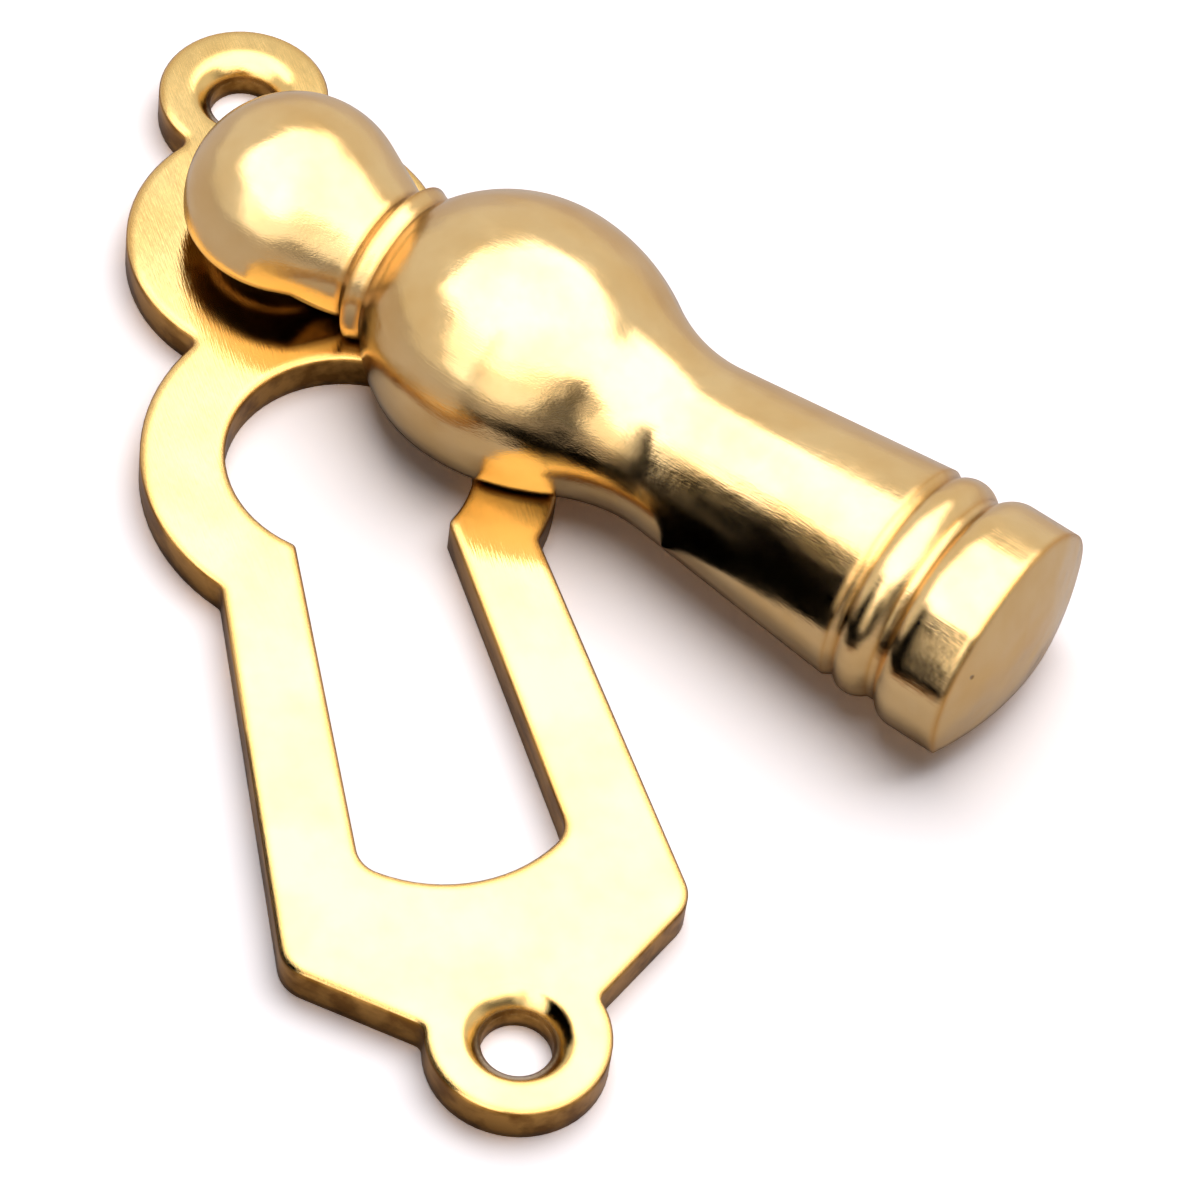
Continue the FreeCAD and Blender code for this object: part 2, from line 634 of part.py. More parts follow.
pieces = [make_backplate(), make_swing_cover(), make_pivot_rivet()]
doc.recompute()

for item in doc.Objects:
    if "Invalid" in item.State or "Error" in item.State:
        raise RuntimeError("%s did not build: %s" % (item.Name, item.State))
for piece in pieces:
    if piece.Shape.isNull() or not piece.Shape.isValid():
        raise RuntimeError("%s has no valid shape" % piece.Label)
    if len(piece.Shape.Solids) != 1:
        raise RuntimeError("%s is not one solid" % piece.Label)

os.makedirs("parts", exist_ok=True)
for piece in pieces:
    piece.Shape.exportStep("parts/%s.step" % piece.Label)
    box = piece.Shape.BoundBox
    print("%-14s volume %8.1f mm3, x %.2f..%.2f y %.2f..%.2f z %.2f..%.2f" % (
        piece.Label, piece.Shape.Volume, box.XMin, box.XMax, box.YMin, box.YMax, box.ZMin,
        box.ZMax))
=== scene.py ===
import json
import logging
import math
from dataclasses import dataclass
from enum import Enum

import bmesh
import bpy
from mathutils import Matrix, Vector

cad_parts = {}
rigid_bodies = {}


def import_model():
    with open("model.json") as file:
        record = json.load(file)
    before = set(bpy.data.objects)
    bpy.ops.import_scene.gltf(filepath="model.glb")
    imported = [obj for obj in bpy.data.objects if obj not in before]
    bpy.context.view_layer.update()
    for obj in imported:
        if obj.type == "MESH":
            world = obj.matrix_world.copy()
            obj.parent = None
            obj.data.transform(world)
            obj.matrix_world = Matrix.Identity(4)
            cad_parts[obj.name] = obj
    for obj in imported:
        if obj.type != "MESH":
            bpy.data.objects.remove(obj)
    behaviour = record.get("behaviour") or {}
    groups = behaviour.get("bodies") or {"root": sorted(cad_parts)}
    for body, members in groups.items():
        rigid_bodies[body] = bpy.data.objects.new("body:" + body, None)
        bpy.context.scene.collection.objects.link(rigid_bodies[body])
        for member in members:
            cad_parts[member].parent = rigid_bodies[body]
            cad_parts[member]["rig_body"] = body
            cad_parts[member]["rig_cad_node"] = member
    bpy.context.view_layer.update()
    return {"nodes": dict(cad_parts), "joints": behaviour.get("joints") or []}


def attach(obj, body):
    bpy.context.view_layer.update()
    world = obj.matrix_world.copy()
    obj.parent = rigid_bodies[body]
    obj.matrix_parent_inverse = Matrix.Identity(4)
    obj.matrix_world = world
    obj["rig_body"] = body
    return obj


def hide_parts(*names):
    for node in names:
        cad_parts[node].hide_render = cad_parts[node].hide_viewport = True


log = logging.getLogger("escutcheon")

# Sizes below are in millimetres, as on the part's drawing, and this makes them metres.
MM = 0.001

# Two points of the cover this near to each other, in millimetres, count as one.
SAME_SPOT = 1e-6

Colour = tuple[float, float, float]

# Two numbers that belong together: a point of an outline, or the two ends of a range.
Pair = tuple[float, float]

# What a node's socket can be given: a value, a colour or vector, or another socket.
Wire = float | tuple[float, ...] | bpy.types.NodeSocket


class Body(Enum):
    """The two bodies that the pieces ride on."""

    PLATE = "plate"
    COVER = "cover"


class Slot(Enum):
    """The material slots of the part."""

    BRASS = "brass"
    RIVET = "rivet_brass"


class Join(Enum):
    """What becomes of a tool's shape where it meets the cover."""

    ADD = "UNION"
    CUT_AWAY = "DIFFERENCE"


class Socket(Enum):
    """The kinds of socket that the shader node groups have."""

    VALUE = "NodeSocketFloat"
    VECTOR = "NodeSocketVector"


class Desk:
    """Lays out nodes in one node tree, so that a shader reads as a few lines."""

    def __init__(self, tree: bpy.types.NodeTree) -> None:
        """Starts on a tree.

        Args:
            tree: the node tree of a material, a world or a group.
        """
        self.nodes = tree.nodes
        self.links = tree.links

    def put(self, kind: str, inputs: dict[str | int, Wire] | None = None,
            **settings: object) -> bpy.types.Node:
        """Adds a node.

        Args:
            kind: the node's type.
            inputs: what each socket gets, by its name or number: a value or another socket.
            settings: the node's own settings.

        Returns:
            The node.
        """
        node = self.nodes.new(kind)
        for name, value in settings.items():
            setattr(node, name, value)
        for name, value in (inputs or {}).items():
            self.feed(node.inputs[name], value)
        return node

    def feed(self, socket: bpy.types.NodeSocket, value: Wire) -> None:
        """Gives a socket a value or a link.

        Args:
            socket: the socket of a node.
            value: the number, colour or vector that it holds, or the socket that it is wired to.
        """
        if isinstance(value, bpy.types.NodeSocket):
            self.links.new(value, socket)
        else:
            socket.default_value = value

    def sum(self, operation: str, first: Wire, second: Wire = 0.0,
            third: Wire = 0.0) -> bpy.types.NodeSocket:
        """Adds one step of arithmetic.

        Args:
            operation: the name of the Math node's operation.
            first: the first number.
            second: the second number, where the operation has one.
            third: the third number, where the operation has one.

        Returns:
            The socket with the result.
        """
        node = self.nodes.new("ShaderNodeMath")
        node.operation = operation
        for socket, value in zip(node.inputs, (first, second, third)):
            self.feed(socket, value)
        return node.outputs[0]

    def product(self, first: Wire, second: Wire) -> bpy.types.NodeSocket:
        """Multiplies two numbers."""
        return self.sum("MULTIPLY", first, second)

    def match(self, first: Wire, second: Wire) -> bpy.types.NodeSocket:
        """Gives the cosine of the angle between two directions."""
        node = self.put("ShaderNodeVectorMath", {0: first, 1: second}, operation="DOT_PRODUCT")
        return node.outputs["Value"]

    def ramp(self, value: Wire, low: float, high: float, start: float = 0.0, end: float = 1.0,
             smooth: bool = False) -> bpy.types.NodeSocket:
        """Carries a value from one range to another and keeps it inside.

        Args:
            value: the value to carry.
            low: the value that becomes start.
            high: the value that becomes end, and which may be less than low.
            start: the result at low and beyond it.
            end: the result at high and beyond it.
            smooth: whether the result eases in and out.

        Returns:
            The socket with the result.
        """
        node = self.put("ShaderNodeMapRange", {
            "Value": value, "From Min": low, "From Max": high, "To Min": start, "To Max": end,
        }, interpolation_type="SMOOTHSTEP" if smooth else "LINEAR")
        return node.outputs["Result"]

    def blend(self, share: Wire, first: Wire, second: Wire) -> bpy.types.NodeSocket:
        """Mixes two colours.

        Args:
            share: how much of the second colour there is, from 0 to 1.
            first: the first colour.
            second: the second colour.

        Returns:
            The socket with the mixed colour.
        """
        node = self.nodes.new("ShaderNodeMix")
        node.data_type = "RGBA"
        colours = [socket for socket in node.inputs if socket.type == "RGBA"]
        self.feed(node.inputs["Factor"], share)
        self.feed(colours[0], first)
        self.feed(colours[1], second)
        return next(socket for socket in node.outputs if socket.type == "RGBA")


def new_group(name: str, inputs: dict[str, Socket],
              outputs: dict[str, Socket]) -> tuple[bpy.types.NodeTree, Desk]:
    """Makes a shader node group with its sockets and no nodes.

    Args:
        name: the group's name.
        inputs: the kind of each input, by name.
        outputs: the kind of each output, by name.

    Returns:
        The group, and a desk on it.
    """
    group = bpy.data.node_groups.new(name, "ShaderNodeTree")
    for sockets, side in ((inputs, "INPUT"), (outputs, "OUTPUT")):
        for title, kind in sockets.items():
            group.interface.new_socket(name=title, in_out=side, socket_type=kind.value)
    return group, Desk(group)


def new_material(name: str) -> tuple[bpy.types.Material, Desk]:
    """Makes a material with no nodes.

    Args:
        name: the material's name.

    Returns:
        The material, and a desk on its node tree.
    """
    material = bpy.data.materials.new(name)
    material.use_nodes = True
    material.node_tree.nodes.clear()
    return material, Desk(material.node_tree)


def opaque(colour: Colour) -> tuple[float, float, float, float]:
    """A colour in the form that a colour socket takes."""
    return (*colour, 1.0)


def add_object(name: str, mesh: bmesh.types.BMesh) -> bpy.types.Object:
    """Puts a mesh into a new object of the scene.

    Args:
        name: the object's name.
        mesh: the mesh, which is freed here.

    Returns:
        The object.
    """
    data = bpy.data.meshes.new(name)
    mesh.to_mesh(data)
    mesh.free()
    made = bpy.data.objects.new(name, data)
    bpy.context.scene.collection.objects.link(made)
    return made


def add_card(mesh: bmesh.types.BMesh, place: Matrix) -> None:
    """Adds a level square of one metre to a mesh, sized and placed by the matrix."""
    bmesh.ops.create_grid(mesh, x_segments=1, y_segments=1, size=0.5, matrix=place)


def dress(piece: bpy.types.Object, finish: bpy.types.Material) -> None:
    """Gives a piece one material, in place of any that it had."""
    piece.data.materials.clear()
    piece.data.materials.append(finish)


@dataclass(frozen=True)
class PolishWear:
    """The marks of buffing on cast brass.

    Scales are features to the metre, stretches say how many times longer a mark runs along the
    grain, and depths are in millimetres.
    """

    tarnish_scale: float = 300.0
    tarnish_range: Pair = (0.36, 0.70)
    haze_scale: float = 900.0
    haze_stretch: float = 3.0
    haze_range: Pair = (0.35, 0.72)
    stain_detail: float = 5.0
    wave_scale: float = 540.0
    wave_detail: float = 0.6
    wave_stretch: float = 7.0
    wave_depth: float = 0.2
    ripple_scale: float = 1600.0
    ripple_share: float = 0.06
    scratch_scale: float = 16000.0
    scratch_stretch: float = 14.0
    scratch_depth: float = 0.012
    fine_detail: float = 2.0
    pit_scale: float = 330.0
    pit_range: Pair = (0.055, 0.025)
    pit_depth: float = 0.03

    def build(self) -> bpy.types.NodeTree:
        """Makes the group, with the grain along X of the position that it is given.

        Returns:
            A shader node group from a position and a normal to masks and a marked normal.
        """
        group, desk = new_group("polish_wear", {
            "Position": Socket.VECTOR, "Base Normal": Socket.VECTOR, "Waviness": Socket.VALUE,
            "Scratch Depth": Socket.VALUE, "Pitting": Socket.VALUE,
        }, {
            "Tarnish": Socket.VALUE, "Haze": Socket.VALUE, "Pits": Socket.VALUE,
            "Normal": Socket.VECTOR,
        })
        given = desk.put("NodeGroupInput").outputs
        place = given["Position"]

        def along_grain(stretch: float) -> bpy.types.NodeSocket:
            """Presses X of the position together, so that a pattern runs long in the grain."""
            return desk.put("ShaderNodeVectorMath", {0: place, 1: (1.0 / stretch, 1.0, 1.0)},
                            operation="MULTIPLY").outputs["Vector"]

        def noise(scale: float, detail: float, where: Wire) -> bpy.types.NodeSocket:
            """Adds a noise pattern at a position."""
            return desk.put("ShaderNodeTexNoise", {"Vector": where, "Scale": scale,
                                                   "Detail": detail}).outputs["Fac"]

        tarnish = desk.ramp(noise(self.tarnish_scale, self.stain_detail, place),
                            *self.tarnish_range)
        haze = desk.ramp(noise(self.haze_scale, self.stain_detail,
                               along_grain(self.haze_stretch)), *self.haze_range)
        waves = noise(self.wave_scale, self.wave_detail, along_grain(self.wave_stretch))
        ripple = noise(self.ripple_scale, self.fine_detail, place)
        scratches = noise(self.scratch_scale, self.fine_detail,
                          along_grain(self.scratch_stretch))
        cells = desk.put("ShaderNodeTexVoronoi", {"Vector": place, "Scale": self.pit_scale})
        lot = desk.put("ShaderNodeSeparateColor", {"Color": cells.outputs["Color"]})
        rare = desk.sum("GREATER_THAN", lot.outputs["Red"],
                        desk.sum("SUBTRACT", 1.0, given["Pitting"]))
        pits = desk.product(rare, desk.ramp(cells.outputs["Distance"], *self.pit_range))
        relief = desk.sum("ADD", waves, desk.product(ripple, self.ripple_share))
        waved = desk.put("ShaderNodeBump", {
            "Height": relief, "Distance": self.wave_depth * MM, "Strength": given["Waviness"],
            "Normal": given["Base Normal"]})
        scratched = desk.put("ShaderNodeBump", {
            "Height": scratches, "Distance": self.scratch_depth * MM,
            "Strength": given["Scratch Depth"], "Normal": waved.outputs["Normal"]})
        pitted = desk.put("ShaderNodeBump", {
            "Height": pits, "Distance": self.pit_depth * MM, "Strength": 1.0,
            "Normal": scratched.outputs["Normal"]}, invert=True)
        desk.put("NodeGroupOutput", {"Tarnish": tarnish, "Haze": haze, "Pits": pits,
                                     "Normal": pitted.outputs["Normal"]})
        return group


@dataclass(frozen=True)
class SoftEdge:
    """The edges that the buffing wheel rounds over, and where they lie.

    Each match is the cosine between the surface's own normal and the rounded one: at flat_match
    a place counts as flat, and at edge_match as an edge.
    """

    samples: int = 6
    flat_match: float = 0.9995
    edge_match: float = 0.94

    def build(self) -> bpy.types.NodeTree:
        """Makes the group.

        Returns:
            A shader node group from a radius to a mask of the edges and a rounded normal.
        """
        group, desk = new_group("soft_edge", {"Radius": Socket.VALUE},
                                {"Edge": Socket.VALUE, "Normal": Socket.VECTOR})
        given = desk.put("NodeGroupInput").outputs
        rounded = desk.put("ShaderNodeBevel", {"Radius": given["Radius"]},
                           samples=self.samples).outputs["Normal"]
        surface = desk.put("ShaderNodeNewGeometry").outputs["Normal"]
        edge = desk.ramp(desk.match(rounded, surface), self.flat_match, self.edge_match,
                         smooth=True)
        desk.put("NodeGroupOutput", {"Edge": edge, "Normal": rounded})
        return group


@dataclass(frozen=True)
class PolishedBrass:
    """A buffed brass casting: warm yellow metal with fine scratches, haze and pits.

    Where wall_steepness is above 0, surfaces that stand more upright than that, as the Z of
    their normal, keep the duller surface of the unbuffed casting and are painted darker as well:
    a painted shade for the dark that the walls mirror.
    """

    name: str
    colour: Colour
    deep_colour: Colour
    # Painted shade in part: the upright faces' darker colour stands for the casting's unbuffed
    # surface and for the dark that they mirror.
    wall_skin_and_shade_colour: Colour = (0.58, 0.29, 0.07)
    grime_colour: Colour = (0.28, 0.12, 0.02)
    grime_range: Pair = (0.15, 0.75)
    # Painted reflection: the rounded edges are tinted a deeper orange for what they mirror.
    edge_reflection_colour: Colour = (0.72, 0.36, 0.09)
    edge_reflection_share: float = 0.85
    edge_radius: float = 0.6
    grain_angle: float = 0.0
    roughness: float = 0.08
    haze_roughness: float = 0.16
    wall_roughness: float = 0.3
    wall_steepness: float = 0.0
    wall_fade: float = 0.4
    waviness: float = 0.15
    scratch_depth: float = 0.5
    pitting: float = 0.06
    pit_colour: Colour = (0.25, 0.13, 0.05)
    pit_share: float = 0.7

    def build(self, wear: bpy.types.NodeTree,
              soft_edge: bpy.types.NodeTree) -> bpy.types.Material:
        """Makes the material.

        Args:
            wear: the shader node group that gives the masks and the surface normal.
            soft_edge: the shader node group that rounds the edges.

        Returns:
            The finished material.
        """
        material, desk = new_material(self.name)
        coordinates = desk.put("ShaderNodeTexCoord").outputs
        grain = desk.put("ShaderNodeMapping", {
            "Vector": coordinates["Object"],
            "Rotation": (0.0, 0.0, -math.radians(self.grain_angle))})
        edges = desk.put("ShaderNodeGroup", node_tree=soft_edge)
        desk.feed(edges.inputs["Radius"], self.edge_radius * MM)
        marks = desk.put("ShaderNodeGroup", node_tree=wear)
        for name, value in (("Position", grain.outputs["Vector"]),
                            ("Base Normal", edges.outputs["Normal"]),
                            ("Waviness", self.waviness), ("Scratch Depth", self.scratch_depth),
                            ("Pitting", self.pitting)):
            desk.feed(marks.inputs[name], value)
        haze = marks.outputs["Haze"]
        colour = desk.blend(marks.outputs["Tarnish"], opaque(self.colour),
                            opaque(self.deep_colour))
        # Painted reflection: a deeper orange along the rounded edges.
        colour = desk.blend(desk.product(edges.outputs["Edge"], self.edge_reflection_share), colour,
                            opaque(self.edge_reflection_colour))
        gloss = desk.ramp(haze, 0.0, 1.0, self.roughness, self.haze_roughness)
        # Painted shade in part: upright faces turn to a darker, duller brass, both for the
        # unbuffed casting and for the dark that the walls mirror.
        if self.wall_steepness > 0.0:
            upright = self._find_walls(desk, coordinates["Normal"])
            grime = desk.ramp(haze, *self.grime_range)
            skin_and_shade = desk.blend(grime, opaque(self.wall_skin_and_shade_colour), opaque(self.grime_colour))
            colour = desk.blend(upright, colour, skin_and_shade)
            gloss = desk.sum("MAXIMUM", gloss, desk.product(upright, self.wall_roughness))
        colour = desk.blend(desk.product(marks.outputs["Pits"], self.pit_share), colour,
                            opaque(self.pit_colour))
        shader = desk.put("ShaderNodeBsdfPrincipled", {
            "Base Color": colour, "Metallic": 1.0, "Roughness": gloss,
            "Normal": marks.outputs["Normal"]})
        desk.put("ShaderNodeOutputMaterial", {"Surface": shader.outputs["BSDF"]})
        return material

    def _find_walls(self, desk: Desk, normal: bpy.types.NodeSocket) -> bpy.types.NodeSocket:
        """Finds the surfaces that stand upright.

        Args:
            desk: the desk of the material.
            normal: the socket with the object's own normal.

        Returns:
            The socket with a mask that is 1 on a wall and 0 on the flat.
        """
        facing = desk.put("ShaderNodeSeparateXYZ", {"Vector": normal})
        return desk.ramp(desk.sum("ABSOLUTE", facing.outputs["Z"]), self.wall_steepness,
                         self.wall_steepness * self.wall_fade, smooth=True)


PLATE_BRASS = PolishedBrass(
    "plate_brass", (0.95, 0.66, 0.265), (0.93, 0.60, 0.21), grain_angle=90.0, roughness=0.07,
    haze_roughness=0.13, wall_steepness=0.5, waviness=0.02)
COVER_BRASS = PolishedBrass(
    "cover_brass", (0.93, 0.64, 0.30), (0.86, 0.54, 0.21), grain_angle=-50.5, roughness=0.13,
    haze_roughness=0.24, waviness=0.8)
RIVET_BRASS = PolishedBrass(
    Slot.RIVET.value, (0.72, 0.50, 0.24), (0.60, 0.40, 0.18), roughness=0.3,
    haze_roughness=0.4, waviness=0.1)


@dataclass
class Backplate:
    """The flat cast plate, with its edges softened by the buffing wheel.

    A face is level where the Z of its normal is more than level_normal, and upright where it is
    less than upright_normal.
    """

    node: bpy.types.Object
    merge_distance: float = 0.0005
    soft_angle: float = 50.0
    level_normal: float = 0.999
    upright_normal: float = 0.01

    def build(self, finish: bpy.types.Material) -> bpy.types.Object:
        """Makes the plate from the CAD solid, with smooth walls and soft edges.

        Args:
            finish: the plate's material.

        Returns:
            The plate's object.
        """
        plate = self.node.copy()
        plate.data = self.node.data.copy()
        plate.name = "plate_casting"
        plate.parent = None
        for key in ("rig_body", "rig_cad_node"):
            if key in plate:
                del plate[key]
        bpy.context.scene.collection.objects.link(plate)
        mesh = bmesh.new()
        mesh.from_mesh(plate.data)
        bmesh.ops.remove_doubles(mesh, verts=mesh.verts, dist=self.merge_distance * MM)
        for face in mesh.faces:
            face.smooth = True
        normals = self._soft_edge_normals(mesh)
        mesh.to_mesh(plate.data)
        mesh.free()
        plate.data.normals_split_custom_set(normals)
        dress(plate, finish)
        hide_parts(self.node.name)
        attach(plate, Body.PLATE.value)
        log.info("%s: %d faces", plate.name, len(plate.data.polygons))
        return plate

    def _is_level(self, face: bmesh.types.BMFace) -> bool:
        """Tells whether a face is part of the plate's front or back."""
        return abs(face.normal.z) > self.level_normal

    def _is_upright(self, face: bmesh.types.BMFace) -> bool:
        """Tells whether a face is part of a wall."""
        return abs(face.normal.z) < self.upright_normal

    def _soft_edge_normals(self, mesh: bmesh.types.BMesh) -> list[Vector]:
        """Finds normals that keep the flats flat and roll over the bevels between them.

        Args:
            mesh: the plate, with its doubles merged.

        Returns:
            One normal for each face corner, in the mesh's own order.
        """
        soft_angle = math.radians(self.soft_angle)
        normals: list[Vector] = []
        for face in mesh.faces:
            for loop in face.loops:
                if self._is_level(face):
                    normals.append(face.normal.copy())
                    continue
                linked = loop.vert.link_faces
                flats = [f for f in linked if self._is_level(f) and f.normal.z > 0]
                if not self._is_upright(face) and flats:
                    normals.append(Vector((0, 0, 1)))
                    continue
                walls = [f for f in linked if self._is_upright(f)]
                near = [f for f in (walls if walls and not self._is_upright(face) else linked)
                        if f.normal.angle(face.normal) < soft_angle]
                total = sum((f.normal * f.calc_area() for f in near), Vector())
                normals.append(total.normalized() if total.length else face.normal.copy())
        return normals


class Outline:
    """A turned outline, drawn as (station, radius) points from one end to the other."""

    def __init__(self) -> None:
        """Starts with no points."""
        self.points: list[Pair] = []

    def add_line(self, start: Pair, end: Pair, steps: int = 1) -> None:
        """Adds the points of a straight run, without its start.

        Args:
            start: where the run starts.
            end: where it ends.
            steps: how many equal steps it has.
        """
        for i in range(1, steps + 1):
            self.points.append(tuple(a + (b - a) * i / steps for a, b in zip(start, end)))

    def add_arc(self, centre: Pair, radius: float, start: Pair, end: Pair, steps: int,
                clockwise: bool = True) -> None:
        """Adds the points of an arc, leaving out one that repeats the last point.

        Args:
            centre: the arc's centre.
            radius: its radius.
            start: where it starts.
            end: where it ends.
            steps: how many equal steps it has.
            clockwise: whether it runs clockwise, as the outside of a round form does.
        """
        first = math.atan2(start[1] - centre[1], start[0] - centre[0])
        last = math.atan2(end[1] - centre[1], end[0] - centre[0])
        if clockwise and last > first:
            last -= 2 * math.pi
        if not clockwise and last < first:
            last += 2 * math.pi
        for i in range(steps + 1):
            angle = first + (last - first) * i / steps
            point = (centre[0] + radius * math.cos(angle), centre[1] + radius * math.sin(angle))
            if not self.points or math.dist(self.points[-1], point) > SAME_SPOT:
                self.points.append(point)


def touching_point(centre: Pair, radius: float, outside: Pair, side: int) -> Pair:
    """Finds where a line from a point outside a circle touches it.

    Args:
        centre: the circle's centre.
        radius: its radius.
        outside: the point that the line comes from.
        side: 1 for the touching point that is anticlockwise of the way from the centre to the
            point outside, and -1 for the other.

    Returns:
        The touching point.
    """
    across = outside[0] - centre[0]
    rise = outside[1] - centre[1]
    angle = math.atan2(rise, across) + side * math.acos(radius / math.hypot(across, rise))
    return (centre[0] + radius * math.cos(angle), centre[1] + radius * math.sin(angle))


@dataclass
class SwingCover:
    """The turned drop cover, ground flat behind, with its back relieved under the ball.

    Stations run along the cover's axis from the pivot, and heights from its flat back. A pair is
    a (station, radius) point of the turned outline. The swing angle is from hanging straight
    down.
    """

    node: bpy.types.Object
    pivot: Vector
    back_z: float = 2.1
    swing_angle: float = 39.5
    axis_height: float = 2.14
    ball_centre: float = 0.55
    ball_radius: float = 5.3
    ball_rim_height: float = 1.75
    relief_turn: float = 3.6
    boss_radius: float = 3.45
    boss_height: float = 0.15
    neck_end: Pair = (5.7, 3.4)
    collar: Pair = (6.35, 4.15)
    collar_groove: Pair = (7.15, 3.8)
    bulb: Pair = (13.7, 7.0)
    bulb_back_curve: float = 10.4
    waist: Pair = (22.9, 4.38)
    shank_end: Pair = (34.8, 5.6)
    reed_width: float = 1.9
    reed_curve: float = 1.23
    reed_groove_width: float = 0.4
    reed_groove_radius: float = 5.33
    end_reed_radius: float = 6.0
    end_reed_curve: float = 1.5
    end_station: float = 42.4
    end_curve_radius: float = 15.7
    cutter_half_width: float = 9.0
    trim_allowance: float = 1.0
    turn_steps: int = 192
    ball_steps: int = 56
    bulb_steps: int = 36
    curve_steps: int = 24
    shank_steps: int = 12
    reed_steps: int = 16
    end_reed_steps: int = 12
    merge_distance: float = 1e-5
    crisp_angle: float = 32.0

    def profile(self) -> list[Pair]:
        """Draws the turned outline, with each arc divided evenly.

        Returns:
            Points from the top of the ball to the middle of the domed end.
        """
        outline = Outline()
        self._draw_ball_and_collar(outline)
        self._draw_bulb_and_shank(outline)
        self._draw_reeds_and_end(outline)
        return outline.points

    def _draw_ball_and_collar(self, outline: Outline) -> None:
        """Draws the ball, the tapered neck and the collar.

        Args:
            outline: the outline, still empty.
        """
        centre = (self.ball_centre, 0.0)
        top = (self.ball_centre - self.ball_radius, 0.0)
        neck = touching_point(centre, self.ball_radius, self.neck_end, 1)
        outline.add_arc(centre, self.ball_radius, top, neck, self.ball_steps)
        outline.points += [self.neck_end, self.collar, self.collar_groove]

    def _draw_bulb_and_shank(self, outline: Outline) -> None:
        """Draws the bulb, which rolls over into the hollow waist, and the flared shank.

        Args:
            outline: the outline up to the collar's groove.
        """
        run = self.bulb[0] - self.collar_groove[0]
        rise = self.bulb[1] - self.collar_groove[1]
        front = (run ** 2 + rise ** 2) / (2 * rise)
        outline.add_arc((self.bulb[0], self.bulb[1] - front), front, self.collar_groove,
                        self.bulb, self.bulb_steps)
        back = self.bulb_back_curve
        run = self.waist[0] - self.bulb[0]
        lift = self.waist[1] - self.bulb[1] + back
        hollow = (run ** 2 + lift ** 2 - back ** 2) / (2 * (back - lift))
        back_centre = (self.bulb[0], self.bulb[1] - back)
        waist_centre = (self.waist[0], self.waist[1] + hollow)
        share = back / (back + hollow)
        turn = tuple(a + (b - a) * share for a, b in zip(back_centre, waist_centre))
        outline.add_arc(back_centre, back, self.bulb, turn, self.curve_steps)
        flare = touching_point(waist_centre, hollow, self.shank_end, -1)
        outline.add_arc(waist_centre, hollow, turn, flare, self.curve_steps, clockwise=False)
        outline.add_line(flare, self.shank_end, self.shank_steps)

    def _draw_reeds_and_end(self, outline: Outline) -> None:
        """Draws the reed, the larger end reed and the domed end.

        Args:
            outline: the outline up to the shank's end.
        """
        low = self.reed_groove_radius
        start = (self.shank_end[0] + self.reed_groove_width, low)
        end = (start[0] + self.reed_width, low)
        half = self.reed_width / 2
        centre = (start[0] + half, low - math.sqrt(self.reed_curve ** 2 - half ** 2))
        outline.add_arc(centre, self.reed_curve, start, end, self.reed_steps)
        start = (end[0] + self.reed_groove_width, low)
        rise = self.end_reed_radius - low
        crest = (start[0] + math.sqrt(2 * self.end_reed_curve * rise - rise ** 2),
                 self.end_reed_radius)
        outline.add_arc((crest[0], crest[1] - self.end_reed_curve), self.end_reed_curve, start,
                        crest, self.end_reed_steps)
        dome = (self.end_station - self.end_curve_radius, 0.0)
        rim = (dome[0] + math.sqrt(self.end_curve_radius ** 2 - self.end_reed_radius ** 2),
               self.end_reed_radius)
        outline.points.append(rim)
        outline.add_arc(dome, self.end_curve_radius, rim, (self.end_station, 0.0),
                        self.curve_steps)

    def build(self, finish: bpy.types.Material) -> bpy.types.Object:
        """Makes the cover.

        Args:
            finish: the cover's material.

        Returns:
            The cover's object.
        """
        cover = self._turned_blank()
        self._join(cover, self._relief_cutter(), Join.CUT_AWAY)
        self._join(cover, self._boss(), Join.ADD)
        self._shade(cover)
        self._place(cover)
        dress(cover, finish)
        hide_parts(self.node.name)
        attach(cover, Body.COVER.value)
        log.info("%s: %d faces", cover.name, len(cover.data.polygons))
        return cover

    def _turned_blank(self) -> bpy.types.Object:
        """Turns the outline about the axis, along X, and cuts the blank flat behind.

        Returns:
            The blank, in millimetres, with its flat back on Z = 0.
        """
        mesh = bmesh.new()
        line = [mesh.verts.new((station, 0.0, max(radius, 0.0)))
                for station, radius in self.profile()]
        for first, second in zip(line, line[1:]):
            mesh.edges.new((first, second))
        bmesh.ops.spin(mesh, geom=mesh.verts[:] + mesh.edges[:], cent=(0, 0, 0), axis=(1, 0, 0),
                       dvec=(0, 0, 0), angle=2 * math.pi, steps=self.turn_steps, use_merge=True)
        bmesh.ops.remove_doubles(mesh, verts=mesh.verts, dist=self.merge_distance)
        bmesh.ops.translate(mesh, verts=mesh.verts, vec=(0, 0, self.axis_height))
        bmesh.ops.bisect_plane(mesh, geom=mesh.verts[:] + mesh.edges[:] + mesh.faces[:],
                               dist=SAME_SPOT, plane_co=(0, 0, 0), plane_no=(0, 0, -1),
                               clear_outer=True)
        bmesh.ops.holes_fill(mesh, edges=[edge for edge in mesh.edges if edge.is_boundary])
        bmesh.ops.recalc_face_normals(mesh, faces=mesh.faces)
        return add_object("cover_casting", mesh)

    def _join(self, target: bpy.types.Object, tool: bpy.types.Object, way: Join) -> None:
        """Adds a tool to the target or cuts it away, and removes the tool.

        Args:
            target: the object that changes.
            tool: the object that is added or cut away.
            way: which of the two it is.
        """
        step = target.modifiers.new("step", "BOOLEAN")
        step.operation = way.value
        step.solver = "EXACT"
        step.object = tool
        graph = bpy.context.evaluated_depsgraph_get()
        finished = bpy.data.meshes.new_from_object(target.evaluated_get(graph))
        target.modifiers.clear()
        old = target.data
        target.data = finished
        bpy.data.meshes.remove(old)
        bpy.data.objects.remove(tool)

